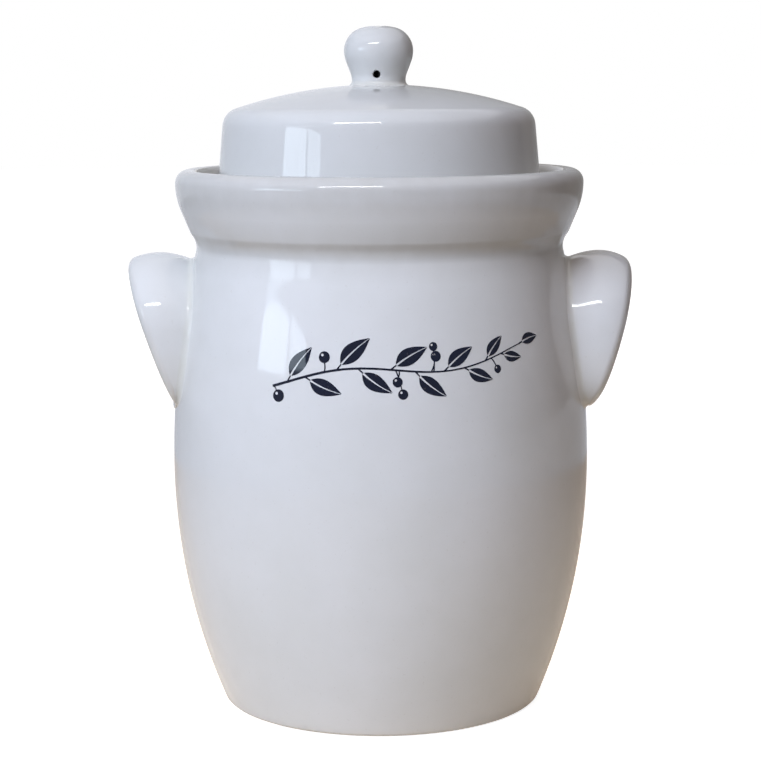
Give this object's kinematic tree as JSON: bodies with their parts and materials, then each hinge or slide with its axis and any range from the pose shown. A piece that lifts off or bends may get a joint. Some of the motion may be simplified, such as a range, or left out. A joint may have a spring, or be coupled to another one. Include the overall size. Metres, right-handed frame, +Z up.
{
  "type": "rumtopf pot",
  "caption": "Lidded stoneware crock with a flared water gutter round its mouth, hollow side lugs, a domed lid with a ball knob, and half round weights inside.",
  "frame": {"origin": "on the axis of the pot, at the bottom of its foot", "axes": "+Z up along the axis of the pot, +X out through the right lug, -Y to the front, where the vent in the knob faces"},
  "size_m": [0.234, 0.194, 0.3142],
  "materials": {
    "glaze": "glossy white glaze",
    "weight_stoneware": "unglazed pale stoneware"
  },
  "bodies": {
    "pot": {"pot_body": "glaze", "gutter_ring": "glaze", "left_lug": "glaze", "right_lug": "glaze"},
    "lid": {"lid": "glaze", "lid_knob": "glaze"},
    "weight_front": {"weight_front": "weight_stoneware"},
    "weight_back": {"weight_back": "weight_stoneware"}
  },
  "joints": [
    {"name": "lid_lift", "type": "slide", "parent": "pot", "child": "lid", "axis": [0, 0, 1], "range_m": [0, 0.06]},
    {"name": "weight_front_lift", "type": "slide", "parent": "pot", "child": "weight_front", "axis": [0, 0, 1], "range_m": [0, 0.165]},
    {"name": "weight_back_lift", "type": "slide", "parent": "pot", "child": "weight_back", "axis": [0, 0, 1], "range_m": [0, 0.165]}
  ]
}
